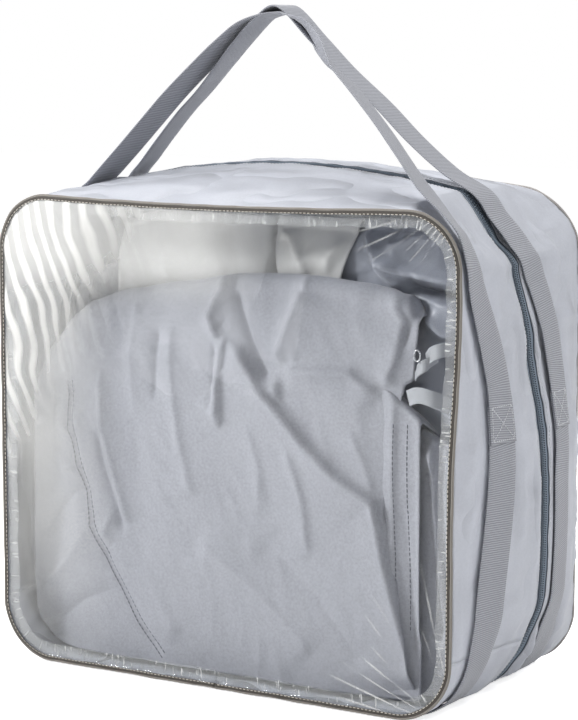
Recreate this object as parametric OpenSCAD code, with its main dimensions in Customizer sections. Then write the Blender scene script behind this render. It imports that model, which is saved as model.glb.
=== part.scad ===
// Zipped storage bag for clothes and covers: a clear front window and a flat back, joined by a
// bulging gusset that a zip splits round its middle, with two webbing carry handles.
// Origin: centre of the footprint, on the floor. +Z up, +X to the right, window towards -Y.

/* [Body] */
// Width of the bag at its piping
body_w = 510; // [460:5:560]
// Depth of the bag, window to back
body_d = 260; // [240:5:300]
// Height of the bag at its piping
body_h = 470; // [430:5:520]
// Radius of the panels' rounded corners
corner_r = 58; // [50:1:66]
// How far the sides belly out at the zip
side_bulge = 28; // [20:1:32]
// How far the top rises at the zip
top_bulge = 22; // [16:1:24]
// How far the upper corners are pulled in at the zip
corner_dip = 24; // [8:1:28]
// Thickness of the coated cloth
cloth_t = 1.6; // [1.2:0.1:2]

/* [Window and seams] */
// Thickness of the clear window sheet
window_t = 0.8; // [0.5:0.1:1.2]
// Radius of the piping bead
piping_r = 2; // [1.5:0.1:2.5]
// Width of the seam binding inside each panel's edge
binding_w = 14; // [10:1:18]
// Thickness of the seam binding
binding_t = 0.8; // [0.6:0.1:1]

/* [Zip] */
// Width of each visible half of the zip's tape
tape_w = 9; // [7:0.5:11]
// Width of each half of the coil
coil_w = 3.4; // [3:0.1:4]
// Length of the zip slider
slider_l = 14; // [12:1:18]
// Width of the zip slider
slider_w = 10; // [9:1:12]
// Length of the pull tab
pull_l = 34; // [26:1:40]
// Height at which the slider is parked on the left side
slider_z = 112; // [108:1:130]

/* [Webbing] */
// Width of the webbing
web_w = 38; // [36:1:40]
// Thickness of the webbing
web_t = 1.6; // [1.2:0.1:2]
// Depth position of the front handle's webbing
front_web_y = -74; // [-78:1:-70]
// Depth position of the rear handle's webbing
rear_web_y = 50; // [46:1:56]
// Height at which the sewn webbing ends and the free loop starts
stitch_top_z = 292; // [280:1:300]
// Side of the square stitch that holds the webbing
stitch_box = 34; // [30:1:35]
// Height of the front handle's apex
front_apex_z = 640; // [620:1:650]
// Height by which the rear handle's apex lies above the front's
apex_lift = 13; // [12:1:16]

/* [Hidden] */

// Colours
cloth_grey = [0.78, 0.79, 0.83];
webbing_grey = [0.64, 0.65, 0.69];
piping_brown = [0.38, 0.36, 0.34];
zip_blue = [0.36, 0.43, 0.50];
coil_dark = [0.16, 0.19, 0.23];
metal_grey = [0.72, 0.73, 0.75];
thread_pale = [0.86, 0.87, 0.89];

half_w = body_w / 2;
half_d = body_d / 2;
base_z = piping_r;              // the cloth of the floor sits this high, on the webbing
flat_x = half_w - corner_r;     // half length of the straight stretch of the top
low_z = base_z + corner_r;      // where the side's straight stretch starts
high_z = body_h - corner_r;     // and where it ends
belly_z = 175;                  // height at which the side bellies out most
belly_r = 1000;                 // radius of the side's arc, seen from the front
crown_r = 1150;                 // radius of the top's arc, seen from the front
tuck_low_z = 25;                // the belly starts here, tucked in below,
tuck_high_z = 100;              // and has its full size here
seam_gap = 0.2;                 // clearance of neighbouring sewn pieces
part_gap = 0.4;                 // clearance of each half from the zip's centre line
lift = 0.4;                     // clearance of a layer that lies on the gusset
corner_steps = 8;
side_steps = 10;
top_steps = 10;
zip_u0 = 0.25;                  // the zip ends this far round each lower corner
zip_u1 = 7 - zip_u0;
coil_h = 2;                     // height of the coil above the tape

function smooth(t) = let (c = min(1, max(0, t))) c * c * (3 - 2 * c);
function arc_drop(r, d) = r - sqrt(r * r - d * d);

// Bulge at the zip's line, for a side, the top and an upper corner at share a of its turn
function side_out(z) =
    max(0, side_bulge - arc_drop(belly_r, z - belly_z))
    * smooth((z - tuck_low_z) / (tuck_high_z - tuck_low_z));
function top_out(x) = top_bulge - arc_drop(crown_r, x);
function corner_out(a) =
    side_out(high_z) * (1 - a) + top_out(flat_x) * a - corner_dip * sin(180 * a);

// The outline seen from the front, as [x, z, nx, nz, bulge]. u runs 0..1 round the lower left
// corner, 1..2 up the left side, 2..3 upper left corner, 3..4 top, then down the right side to 7.
function corner_at(cx, cz, angle, out) =
    [cx + corner_r * cos(angle), cz + corner_r * sin(angle), cos(angle), sin(angle), out];
function left_half(u) =
    u < 1 ? let (p = corner_at(-flat_x, low_z, 270 - 90 * u, 0))
            [p[0], p[1], p[2], p[3], side_out(p[1])] :
    u < 2 ? let (z = low_z + (u - 1) * (high_z - low_z)) [-half_w, z, -1, 0, side_out(z)] :
    u < 3 ? corner_at(-flat_x, high_z, 180 - 90 * (u - 2), corner_out(u - 2)) :
    let (x = -flat_x + (u - 3) * 2 * flat_x) [x, body_h, 0, 1, top_out(x)];
function mirror_x(p) = [-p[0], p[1], -p[2], p[3], p[4]];
function outline(u) = u <= 3.5 ? left_half(u) : mirror_x(left_half(7 - u));

// A point of the gusset at u round the outline, y deep, and o outside the cloth's outer face
function depth_share(y) = 1 - pow(y / half_d, 2);
function skin(u, y, o) =
    let (p = outline(u), out = p[4] * depth_share(y) + o) [p[0] + p[2] * out, y, p[1] + p[3] * out];

function span(a, b, n) = [for (i = [0 : n]) a + (b - a) * i / n];
// Values of u from a to b that also stop at each change between corner and straight stretch
function u_list(a, b) = concat(
    [a],
    [for (k = [0 : 6], i = [1 : (k % 2 == 0 ? corner_steps : k == 3 ? top_steps : side_steps)])
        let (n = k % 2 == 0 ? corner_steps : k == 3 ? top_steps : side_steps, u = k + i / n)
        if (u > a + 0.02 && u < b - 0.02) u],
    [b]);

// A closed solid between two layers of the skin, over a grid of u and y values
module layer(us, ys, o_in, o_out) {
    nu = len(us);
    ny = len(ys);
    function at(side, i, j) = side * nu * ny + i * ny + j;
    points = concat(
        [for (u = us, y = ys) skin(u, y, o_out)],
        [for (u = us, y = ys) skin(u, y, o_in)]);
    faces = concat(
        [for (i = [0 : nu - 2], j = [0 : ny - 2], t = [0, 1]) t == 0
            ? [at(0, i, j), at(0, i + 1, j), at(0, i + 1, j + 1)]
            : [at(0, i, j), at(0, i + 1, j + 1), at(0, i, j + 1)]],
        [for (i = [0 : nu - 2], j = [0 : ny - 2], t = [0, 1]) t == 0
            ? [at(1, i, j), at(1, i + 1, j + 1), at(1, i + 1, j)]
            : [at(1, i, j), at(1, i, j + 1), at(1, i + 1, j + 1)]],
        [for (i = [0 : nu - 2], t = [0, 1]) t == 0
            ? [at(0, i, 0), at(1, i, 0), at(1, i + 1, 0)]
            : [at(0, i, 0), at(1, i + 1, 0), at(0, i + 1, 0)]],
        [for (i = [0 : nu - 2], t = [0, 1]) t == 0
            ? [at(0, i, ny - 1), at(1, i + 1, ny - 1), at(1, i, ny - 1)]
            : [at(0, i, ny - 1), at(0, i + 1, ny - 1), at(1, i + 1, ny - 1)]],
        [for (j = [0 : ny - 2], t = [0, 1]) t == 0
            ? [at(0, 0, j), at(1, 0, j + 1), at(1, 0, j)]
            : [at(0, 0, j), at(0, 0, j + 1), at(1, 0, j + 1)]],
        [for (j = [0 : ny - 2], t = [0, 1]) t == 0
            ? [at(0, nu - 1, j), at(1, nu - 1, j), at(1, nu - 1, j + 1)]
            : [at(0, nu - 1, j), at(1, nu - 1, j + 1), at(0, nu - 1, j + 1)]]);
    polyhedron(points = points, faces = faces, convexity = 8);
}

// A flat panel in the XZ plane with rounded corners, pulled in by inset
module rounded_plate(inset, y0, y1) {
    r = corner_r - inset;
    translate([0, y1, 0]) rotate([90, 0, 0]) linear_extrude(height = y1 - y0) union() {
        translate([-half_w + inset, low_z]) square([body_w - 2 * inset, high_z - low_z]);
        translate([-flat_x, base_z + inset]) square([2 * flat_x, body_h - base_z - 2 * inset]);
        for (x = [-flat_x, flat_x], z = [low_z, high_z]) translate([x, z]) circle(r = r, $fn = 64);
    }
}

module ring_plate(inset, width, y0, y1) {
    difference() {
        rounded_plate(inset, y0, y1);
        rounded_plate(inset + width, y0 - 1, y1 + 1);
    }
}

// A round bead along the rounded outline, at depth y
module bead(y) {
    for (x = [-1, 1])
        translate([x * half_w, y, low_z]) cylinder(r = piping_r, h = high_z - low_z, $fn = 32);
    for (z = [base_z, body_h])
        translate([-flat_x, y, z]) rotate([0, 90, 0]) cylinder(r = piping_r, h = 2 * flat_x, $fn = 32);
    for (corner = [[flat_x, high_z, 0], [-flat_x, high_z, 90],
                   [-flat_x, low_z, 180], [flat_x, low_z, 270]])
        translate([corner[0], y, corner[1]]) rotate([90, 0, 0]) rotate([0, 0, corner[2]])
            rotate_extrude(angle = 90, $fn = 64) translate([corner_r, 0]) circle(r = piping_r, $fn = 32);
}

front_ys = span(-half_d + piping_r + seam_gap, -part_gap, 7);
rear_ys = span(part_gap, half_d - piping_r - seam_gap, 7);

module back_panel() {
    color(cloth_grey) rounded_plate(piping_r + seam_gap, half_d - cloth_t, half_d);
}

module rear_gusset() {
    color(cloth_grey) layer(u_list(0, 7), rear_ys, -cloth_t, 0);
}

module front_gusset() {
    color(cloth_grey) layer(u_list(0, 7), front_ys, -cloth_t, 0);
}

module bottom_gusset() {
    length = 2 * (flat_x - part_gap);
    depth = body_d - 2 * (piping_r + 1);
    color(cloth_grey) translate([-length / 2, -depth / 2, base_z]) cube([length, depth, cloth_t]);
}

module rear_piping() { color(piping_brown) bead(half_d); }

module front_piping() { color(piping_brown) bead(-half_d); }

module front_window() {
    y0 = -half_d - window_t + 0.2;
    color([0.9, 0.92, 0.95, 0.35]) rounded_plate(piping_r + seam_gap, y0, y0 + window_t);
}

module window_seam_binding() {
    y0 = -half_d + 0.4;
    color(cloth_grey) ring_plate(piping_r + seam_gap, binding_w, y0, y0 + binding_t);
}

module rear_seam_binding() {
    y1 = half_d - cloth_t - seam_gap;
    color(cloth_grey) ring_plate(piping_r + seam_gap, binding_w, y1 - binding_t, y1);
}

module front_zip_tape() {
    color(zip_blue) layer(u_list(zip_u0, zip_u1), [-tape_w - coil_w, -coil_w - seam_gap], lift, lift + 0.6);
}

module rear_zip_tape() {
    color(zip_blue) layer(u_list(zip_u0, zip_u1), [coil_w + seam_gap, tape_w + coil_w], lift, lift + 0.6);
}

module front_zip_coil() {
    color(coil_dark) layer(u_list(zip_u0, zip_u1), [-coil_w, -part_gap], lift, lift + coil_h);
}

module rear_zip_coil() {
    color(coil_dark) layer(u_list(zip_u0, zip_u1), [part_gap, coil_w], lift, lift + coil_h);
}

module zip_end_stops() {
    stop_u = 0.06;
    color(metal_grey) for (u = [zip_u0 - stop_u, zip_u1 + 0.02])
        layer([u, u + stop_u - 0.02], [part_gap, coil_w + 1.5], lift, lift + 1.4);
}

// Webbing sewn to one side, from the lower corner's start up to the square stitch. Its facets
// are cut where the gusset's are, so that it keeps its clearance on both sides of the bag.
function side_u(z) = 1 + (z - low_z) / (high_z - low_z);
function reverse(v) = [for (i = [len(v) - 1 : -1 : 0]) v[i]];
function on_side(us, side) = side < 0 ? us : [for (u = reverse(us)) 7 - u];
function cut_at(y0, y1, ys) = concat([y0], [for (y = ys) if (y > y0 + 1 && y < y1 - 1) y], [y1]);
strap_us = u_list(0.1, side_u(stitch_top_z - 1));
module sewn_strap(y, ys, side) {
    layer(on_side(strap_us, side), cut_at(y - web_w / 2, y + web_w / 2, ys), lift, lift + web_t);
}

module front_strap_left() { color(webbing_grey) sewn_strap(front_web_y, front_ys, -1); }

module front_strap_right() { color(webbing_grey) sewn_strap(front_web_y, front_ys, 1); }

module rear_strap_left() { color(webbing_grey) sewn_strap(rear_web_y, rear_ys, -1); }

module rear_strap_right() { color(webbing_grey) sewn_strap(rear_web_y, rear_ys, 1); }

module strap_base(y) {
    length = 2 * (flat_x - part_gap);
    translate([-length / 2, y - web_w / 2, 0]) cube([length, web_w, web_t]);
}

module front_strap_base() { color(webbing_grey) strap_base(front_web_y); }

module rear_strap_base() { color(webbing_grey) strap_base(rear_web_y); }

// The square stitch and the seam across it: ridges of thread on the sewn webbing of one side
thread_w = 1.2;
thread_h = 0.5;
thread_o = lift + web_t + 0.05;
module thread(z0, z1, y0, y1, ys, side) {
    us = [for (z = span(z0, z1, 2)) side_u(z)];
    layer(on_side(us, side), cut_at(y0, y1, ys), thread_o, thread_o + thread_h);
}
module thread_run(z0, y0, z1, y1, ys, side) {
    steps = 6;
    for (i = [0 : steps - 1]) {
        ya = y0 + (y1 - y0) * (i + 0.4) / steps;
        thread(z0 + (z1 - z0) * i / steps, z0 + (z1 - z0) * (i + 0.8) / steps,
            ya - thread_w / 2, ya + thread_w / 2, ys, side);
    }
}
module box_stitch(y, ys, side) {
    z1 = stitch_top_z - 4;
    z0 = z1 - stitch_box;
    half = stitch_box / 2;
    for (z = [z0, z1 - thread_w])
        thread(z, z + thread_w, y - half, y + half, ys, side);
    for (edge = [y - half, y + half - thread_w])
        thread(z0 + thread_w + 0.3, z1 - thread_w - 0.3, edge, edge + thread_w, ys, side);
    thread_run(z0 + 3, y - half + 3, z1 - 3, y + half - 3, ys, side);
}

module front_box_stitch_left() { color(thread_pale) box_stitch(front_web_y, front_ys, -1); }

module front_box_stitch_right() { color(thread_pale) box_stitch(front_web_y, front_ys, 1); }

module rear_box_stitch_left() { color(thread_pale) box_stitch(rear_web_y, rear_ys, -1); }

module rear_box_stitch_right() { color(thread_pale) box_stitch(rear_web_y, rear_ys, 1); }

// Free loop of a handle: a band in its own leaning plane, legs beside the bag, over each corner,
// and straight up to a rounded apex. All points are [x, height] in the plane.
loop_start_z = stitch_top_z + 1;
leg_x = half_w + 22.5;          // inner face of the leg at the stitch
shoulder_r = corner_r + 7;      // inner radius over the corner
apex_r = 9;                     // inner radius at the apex
function loop_angle(apex_z) =
    let (dz = apex_z - apex_r - high_z, reach = sqrt(flat_x * flat_x + dz * dz))
    atan2(flat_x, dz) + asin((shoulder_r - apex_r) / reach);
function loop_half(apex_z, t) = concat(
    [[leg_x + t, loop_start_z], [flat_x + shoulder_r + t + 0.5, high_z - 8]],
    [for (a = span(0, loop_angle(apex_z), 8))
        [flat_x + (shoulder_r + t) * cos(a), high_z + (shoulder_r + t) * sin(a)]],
    [for (a = span(loop_angle(apex_z), 84, 3))
        [(apex_r + t) * cos(a), apex_z - apex_r + (apex_r + t) * sin(a)]]);
function flip(v) = [for (p = reverse(v)) [-p[0], p[1]]];
module loop_band(apex_z) {
    outer = concat(loop_half(apex_z, web_t), flip(loop_half(apex_z, web_t)));
    inner = concat(loop_half(apex_z, 0), flip(loop_half(apex_z, 0)));
    polygon(concat(outer, reverse(inner)));
}
// The plane leans so that the band's middle line meets the bag's middle plane at the apex
module free_loop(y, apex_z) {
    lean = atan2(-y, apex_z - stitch_top_z);
    translate([0, y, stitch_top_z]) rotate([-lean, 0, 0]) translate([0, web_w / 2, -stitch_top_z])
        rotate([90, 0, 0]) linear_extrude(height = web_w) loop_band(apex_z);
}

module front_handle() { color(webbing_grey) free_loop(front_web_y, front_apex_z); }

module rear_handle() { color(webbing_grey) free_loop(rear_web_y, front_apex_z + apex_lift); }

// The slider rides on the coil of the left side. That side is an arc about this axis.
slider_turn = asin((slider_z - belly_z) / belly_r);
slider_in = belly_r + lift + coil_h + 0.6;
module on_side_arc() {
    translate([-half_w - side_bulge + belly_r, 0, belly_z]) rotate([0, slider_turn, 0]) children();
}
plate_t = 2.2;
module zip_slider_body() {
    color(metal_grey) on_side_arc() translate([-slider_in - plate_t, 0, 0]) rotate([0, 90, 0])
        linear_extrude(height = plate_t) polygon([
            [-slider_l / 2, -slider_w / 2], [-slider_l / 2, slider_w / 2],
            [slider_l / 6, slider_w / 2], [slider_l / 2, slider_w / 3],
            [slider_l / 2, -slider_w / 3], [slider_l / 6, -slider_w / 2]]);
}

bridge_h = 4;                   // reach of the bridge off the slider's plate
bridge_x = -slider_in - plate_t - bridge_h;
bridge_t = 1.2;
bridge_w = 3;
module zip_slider_bridge() {
    leg_gap = 7;
    color(metal_grey) on_side_arc() union() {
        translate([bridge_x, -bridge_w / 2, -leg_gap / 2 - bridge_t])
            cube([bridge_t, bridge_w, leg_gap + 2 * bridge_t]);
        for (z = [-leg_gap / 2 - bridge_t, leg_gap / 2])
            translate([bridge_x, -bridge_w / 2, z]) cube([bridge_h, bridge_w, bridge_t]);
    }
}

// The pull hangs from the bridge: its top bar lies under the bridge, which runs through a slot
tab_w = 8;
tab_t = 1.4;
bar_h = 1.6;                    // height of the bar above the slot
tab_top = 2.4;
slot_w = 4.4;
slot_l = 7.8;
eye_r = 1.8;
module zip_pull_tab() {
    color(metal_grey) on_side_arc() translate([bridge_x + bridge_t + 0.5, 0, 0]) difference() {
        translate([0, -tab_w / 2, tab_top - pull_l]) cube([tab_t, tab_w, pull_l]);
        translate([-1, -slot_w / 2, tab_top - bar_h - slot_l]) cube([tab_t + 2, slot_w, slot_l]);
        translate([-1, 0, tab_top + 5 - pull_l]) rotate([0, 90, 0])
            cylinder(r = eye_r, h = tab_t + 2, $fn = 32);
    }
}

back_panel();
rear_gusset();
bottom_gusset();
rear_piping();
rear_seam_binding();
rear_zip_tape();
rear_zip_coil();
zip_end_stops();
rear_strap_left();
rear_strap_right();
rear_strap_base();
front_strap_base();
rear_box_stitch_left();
rear_box_stitch_right();
front_window();
front_gusset();
front_piping();
window_seam_binding();
front_zip_tape();
front_zip_coil();
front_strap_left();
front_strap_right();
front_box_stitch_left();
front_box_stitch_right();
front_handle();
rear_handle();
zip_slider_body();
zip_slider_bridge();
zip_pull_tab();
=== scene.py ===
"""Looks of the zipped storage bag: cloth, clear window, zip, webbing and the folded cover inside."""

import math

import bpy
from mathutils import Matrix, Vector, noise


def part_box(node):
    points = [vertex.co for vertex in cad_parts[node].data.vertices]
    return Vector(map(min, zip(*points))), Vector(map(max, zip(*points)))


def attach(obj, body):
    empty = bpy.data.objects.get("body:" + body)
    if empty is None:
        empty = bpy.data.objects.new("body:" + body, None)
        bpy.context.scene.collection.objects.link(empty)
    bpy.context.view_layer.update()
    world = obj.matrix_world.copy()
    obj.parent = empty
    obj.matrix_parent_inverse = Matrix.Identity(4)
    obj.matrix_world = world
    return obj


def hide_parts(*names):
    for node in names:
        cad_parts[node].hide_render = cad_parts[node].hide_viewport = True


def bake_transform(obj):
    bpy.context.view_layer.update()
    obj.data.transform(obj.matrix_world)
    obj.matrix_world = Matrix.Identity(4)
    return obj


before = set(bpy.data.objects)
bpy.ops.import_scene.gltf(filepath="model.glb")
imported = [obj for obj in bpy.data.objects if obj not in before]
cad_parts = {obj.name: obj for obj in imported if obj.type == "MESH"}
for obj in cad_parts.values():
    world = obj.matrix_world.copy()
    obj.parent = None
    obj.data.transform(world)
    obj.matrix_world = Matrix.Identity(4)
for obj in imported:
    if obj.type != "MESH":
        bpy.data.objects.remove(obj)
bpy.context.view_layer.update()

# ------------------------------------------------------------------ sizes, in metres
pipe_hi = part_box("rear_piping")[1]
PIPE_R = 0.002
HALF_W = pipe_hi.x - PIPE_R
HALF_D = pipe_hi.y - PIPE_R
BODY_H = pipe_hi.z - PIPE_R
BASE_Z = PIPE_R
CORNER_R = 0.058
FLAT_X = HALF_W - CORNER_R
LOW_Z = BASE_Z + CORNER_R
HIGH_Z = BODY_H - CORNER_R
BELLY_Z, BELLY_R, SIDE_BULGE = 0.175, 1.0, 0.028
CROWN_R, TOP_BULGE, CORNER_DIP = 1.15, 0.022, 0.024
TUCK_LOW, TUCK_HIGH = 0.025, 0.100
SHOULDER_PINCH = 0.007                # the handles pull the sides in just below the upper corners
FRONT_SAG, REAR_RISE, CROWN_REACH = 0.005, 0.019, 0.235
EDGE_LEAN = 0.0075
STITCH_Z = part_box("front_strap_right")[1].z
WEB_W, WEB_T = 0.038, 0.0016
SEWN_LIFT, LOOP_LIFT, THREAD_LIFT = 0.0028, 0.0043, 0.0054      # heights over the cloth
ZIP_GAP = 0.0095                       # half width of the tape that shows
CLOTH_T = 0.0012
HINGE_X = 0.150                        # the floor's cloth lifts beyond this when the flap folds


# ------------------------------------------------------------------ the bag's skin
def smooth(t):
    t = min(1.0, max(0.0, t))
    return t * t * (3 - 2 * t)


def lerp(a, b, t):
    return a + (b - a) * t


def arc_drop(r, d):
    return r - math.sqrt(r * r - d * d)


def side_out(z):
    full = max(0.0, SIDE_BULGE - arc_drop(BELLY_R, z - BELLY_Z))
    pinch = SHOULDER_PINCH * smooth((z - HIGH_Z + 0.07) / 0.07)
    return full * smooth((z - TUCK_LOW) / (TUCK_HIGH - TUCK_LOW)) - pinch


def top_out(x):
    return TOP_BULGE - arc_drop(CROWN_R, x)


def corner_out(a):
    return lerp(side_out(HIGH_Z), top_out(FLAT_X), a) - CORNER_DIP * math.sin(math.pi * a)


def left_half(u):
    """(x, z, nx, nz, bulge) at u on the left half of the outline; u < 0 is the floor."""
    if u < 0:
        return (-FLAT_X * (1 + u), BASE_Z, 0.0, -1.0, 0.0)
    if u < 1 or 2 <= u < 3:
        angle = math.radians(270 - 90 * u) if u < 1 else math.radians(180 - 90 * (u - 2))
        cz = LOW_Z if u < 1 else HIGH_Z
        c, s = math.cos(angle), math.sin(angle)
        x, z = -FLAT_X + CORNER_R * c, cz + CORNER_R * s
        return (x, z, c, s, side_out(z) if u < 1 else corner_out(u - 2))
    if u < 2:
        z = lerp(LOW_Z, HIGH_Z, u - 1)
        return (-HALF_W, z, -1.0, 0.0, side_out(z))
    x = lerp(-FLAT_X, FLAT_X, u - 3)
    return (x, BODY_H, 0.0, 1.0, top_out(x))


def outline(u):
    if u <= 3.5:
        return left_half(u)
    x, z, nx, nz, out = left_half(7 - u)
    return (-x, z, -nx, nz, out)


def side_fit(z):
    """The right side is a little flatter than the left one below its shoulder, and fuller at it."""
    return 0.0065 * math.exp(-((z - 0.436) / 0.020) ** 2) - 0.0055 * math.exp(-((z - 0.325) / 0.05) ** 2)


def side_shift(x, y, z):
    """The window's upper right edge also stands out a little further than its lower one."""
    if x <= 0:
        return 0.0
    lean = EDGE_LEAN * smooth((z - 0.20) / 0.18) * (-y / HALF_D) ** 1.5 if y < 0 else 0.0
    return lean + side_fit(z) * (1 - (y / HALF_D) ** 2)


def top_shift(x, y, nz):
    """The top's front edge sags a little and its rear edge rises."""
    if nz <= 0:
        return 0.0
    reach = max(0.0, 1 - (x / CROWN_REACH) ** 2)
    return lerp(-FRONT_SAG, REAR_RISE, (y + HALF_D) / (2 * HALF_D)) * reach * nz


ARC_L = CORNER_R * math.pi / 2
SIDE_L = HIGH_Z - LOW_Z
PIECE_L = [ARC_L, SIDE_L, ARC_L, 2 * FLAT_X, ARC_L, SIDE_L, ARC_L]


def length_at(u):
    """Distance round the outline from u = 0."""
    if u < 0:
        return FLAT_X * u
    whole = min(6, int(u))
    past = (u - whole) * (FLAT_X if u > 7 else PIECE_L[whole])
    return sum(PIECE_L[:whole]) + past


# Where the webbing lies on the bag: pairs of u on the left half and depth, for each handle and side
def front_web_y(z):
    return lerp(-0.087, -0.071, smooth((z - 0.08) / 0.18))


def rear_web_y(z):
    return lerp(0.060, 0.040, smooth((z - 0.01) / 0.08)) + 0.007 * smooth((z - 0.20) / 0.05)


def u_at(z):
    """u on the left side's straight stretch, at height z."""
    return 1 + (z - LOW_Z) / SIDE_L


LANES = {
    ("front", 1): [(u_at(0.256), -0.071), (u_at(0.290), -0.071), (u_at(0.318), -0.073),
                   (u_at(0.350), -0.083), (u_at(0.384), -0.095), (u_at(0.400), -0.100),
                   (2.10, -0.104), (2.40, -0.104), (2.66, -0.099)],
    ("front", -1): [(u_at(0.256), -0.071), (u_at(0.290), -0.071), (u_at(0.330), -0.068),
                    (u_at(0.370), -0.060), (u_at(0.400), -0.053), (2.22, -0.046), (2.52, -0.041),
                    (2.82, -0.037)],
    ("rear", 1): [(u_at(0.256), 0.047), (u_at(0.290), 0.047), (u_at(0.318), 0.048), (u_at(0.349), 0.044),
                  (u_at(0.380), 0.037), (u_at(0.398), 0.033), (2.05, 0.028), (2.28, 0.026), (2.50, 0.024),
                  (2.70, 0.020), (2.90, 0.018)],
    ("rear", -1): [(u_at(0.256), 0.047), (u_at(0.290), 0.047), (u_at(0.330), 0.048), (u_at(0.370), 0.047),
                   (u_at(0.400), 0.044), (2.22, 0.041), (2.52, 0.038), (2.82, 0.036)]}


def under_webbing(u, y):
    """1 where webbing presses on the cloth, 0 away from it."""
    side = -1 if u <= 3.5 else 1
    u = u if side < 0 else 7 - u
    if u < 0 or u > 2.95:
        return 0.0
    z = left_half(u)[1]
    most = 0.0
    for tag, web_y in (("front", front_web_y), ("rear", rear_web_y)):
        lane = LANES[tag, side]
        centre = web_y(z) if u < lane[0][0] else lane[-1][1]
        for (a, ya), (b, yb) in zip(lane, lane[1:]):
            if a <= u <= b:
                centre = lerp(ya, yb, (u - a) / (b - a))
        most = max(most, smooth((0.032 - abs(y - centre)) / 0.009))
    return most


def n3(x, y, z):
    return noise.noise(Vector((x, y, z)))


def cloth_relief(u, y):
    """Height of the gusset's wrinkles above its smooth skin."""
    s = length_at(u)
    edge = HALF_D - abs(y)
    pucker = 0.0011 * math.exp(-edge / 0.012) * n3(s * 95, y * 12, 2.0)
    zip_pucker = 0.0008 * math.exp(-abs(abs(y) - ZIP_GAP) / 0.014) * n3(s * 70, y * 8, 7.0)
    sag = 0.0030 * n3(s * 9, y * 11, 4.0) + 0.0034 * n3(s * 22 + y * 14, y * 9 - s * 5, 9.0)
    long_fold = 0.0036 * (1 - abs(n3(s * 13 - y * 20, y * 6, 5.0)) * 2.2)
    long_fold += 0.0026 * (1 - abs(n3(s * 34 + y * 26, y * 30 - s * 12, 6.0)) * 2.4)
    hold = smooth(edge / 0.03) * smooth((abs(y) - 0.002) / 0.02)
    on_top = smooth((min(u, 7 - u) - 2.3) / 0.5)
    height = pucker + zip_pucker + (sag + long_fold) * hold * (1 - 0.6 * on_top)
    return lerp(height, min(height, 0.0) * 0.6 - 0.0004, under_webbing(u, y))


def skin(u, y, o=0.0, relief=1.0):
    x, z, nx, nz, out = outline(u)
    reach = out * (1 - (y / HALF_D) ** 2) + o
    if relief and u > 0 and u < 7:
        reach += relief * cloth_relief(u, y) * smooth(min(u, 7 - u) / 0.5)
    px, pz = x + nx * reach, z + nz * reach
    return Vector((px + side_shift(px, y, pz) * smooth((x - 0.10) / 0.10), y, pz + top_shift(x, y, nz)))


def u_steps(a, b, step):
    n = max(2, round((length_at(b) - length_at(a)) / step))
    return [lerp(a, b, i / n) for i in range(n + 1)]


def even(a, b, n):
    return [lerp(a, b, i / n) for i in range(n + 1)]


def even_u(a, b, step):
    """Values of u at about equal distances round the outline."""
    marks = [a] + [k for k in range(9) if a < k < b] + [b]
    out = []
    for lo, hi in zip(marks, marks[1:]):
        out += u_steps(lo, hi, step)[:-1]
    return out + [b]


# ------------------------------------------------------------------ meshes
def make_mesh(name, points, faces, uvs=None, mat=None):
    mesh = bpy.data.meshes.new(name)
    mesh.from_pydata([tuple(p) for p in points], [], faces)
    if uvs:
        layer = mesh.uv_layers.new(name="UVMap")
        for loop in mesh.loops:
            layer.data[loop.index].uv = uvs[loop.vertex_index]
    mesh.validate()
    mesh.polygons.foreach_set("use_smooth", [True] * len(mesh.polygons))
    mesh.update()
    obj = bpy.data.objects.new(name, mesh)
    bpy.context.scene.collection.objects.link(obj)
    if mat:
        mesh.materials.append(mat)
    return obj


def grid_faces(nu, nv, start=0, flip=False, close_u=False):
    faces = []
    for i in range(nu if close_u else nu - 1):
        k = (i + 1) % nu
        for j in range(nv - 1):
            quad = (start + i * nv + j, start + k * nv + j, start + k * nv + j + 1,
                    start + i * nv + j + 1)
            faces.append(quad[::-1] if flip else quad)
    return faces


def grid_normals(rows):
    """A unit normal at each point of a grid of points."""
    nu, nv = len(rows), len(rows[0])
    out = []
    for i in range(nu):
        line = []
        for j in range(nv):
            du = rows[min(nu - 1, i + 1)][j] - rows[max(0, i - 1)][j]
            dv = rows[i][min(nv - 1, j + 1)] - rows[i][max(0, j - 1)]
            n = du.cross(dv)
            line.append(n.normalized() if n.length > 1e-12 else Vector((0, 0, 1)))
        out.append(line)
    return out


def cloth_sheet(name, us, vs, point, thick, mat, uv=None, inward=1):
    """A closed thin sheet: the grid point(u, v) and the same grid thick below it."""
    rows = [[point(u, v) for v in vs] for u in us]
    normals = grid_normals(rows)
    nu, nv = len(us), len(vs)
    pts = [p for row in rows for p in row]
    pts += [p - n * thick * inward for row, line in zip(rows, normals) for p, n in zip(row, line)]
    m = nu * nv
    faces = grid_faces(nu, nv) + grid_faces(nu, nv, m, True)
    for i in range(nu - 1):
        a, b = i * nv, (i + 1) * nv
        faces.append((a, m + a, m + b, b))
        faces.append((a + nv - 1, b + nv - 1, m + b + nv - 1, m + a + nv - 1))
    for j in range(nv - 1):
        a, b = j, (nu - 1) * nv + j
        faces.append((a, a + 1, m + a + 1, m + a))
        faces.append((b, m + b, m + b + 1, b + 1))
    coords = [uv(u, v) if uv else (u, v) for u in us for v in vs]
    return make_mesh(name, pts, faces, coords * 2, mat)


def spline(points, n):
    """Catmull-Rom curve through points, n steps a span. Points are Vectors of any size."""
    out = []
    for i in range(len(points) - 1):
        p0, p1 = points[max(0, i - 1)], points[i]
        p2, p3 = points[i + 1], points[min(len(points) - 1, i + 2)]
        for k in range(n):
            t = k / n
            out.append(0.5 * ((2 * p1) + (p2 - p0) * t + (2 * p0 - 5 * p1 + 4 * p2 - p3) * t * t
                              + (3 * p1 - p0 - 3 * p2 + p3) * t ** 3))
    return out + [points[-1].copy()]


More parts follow.
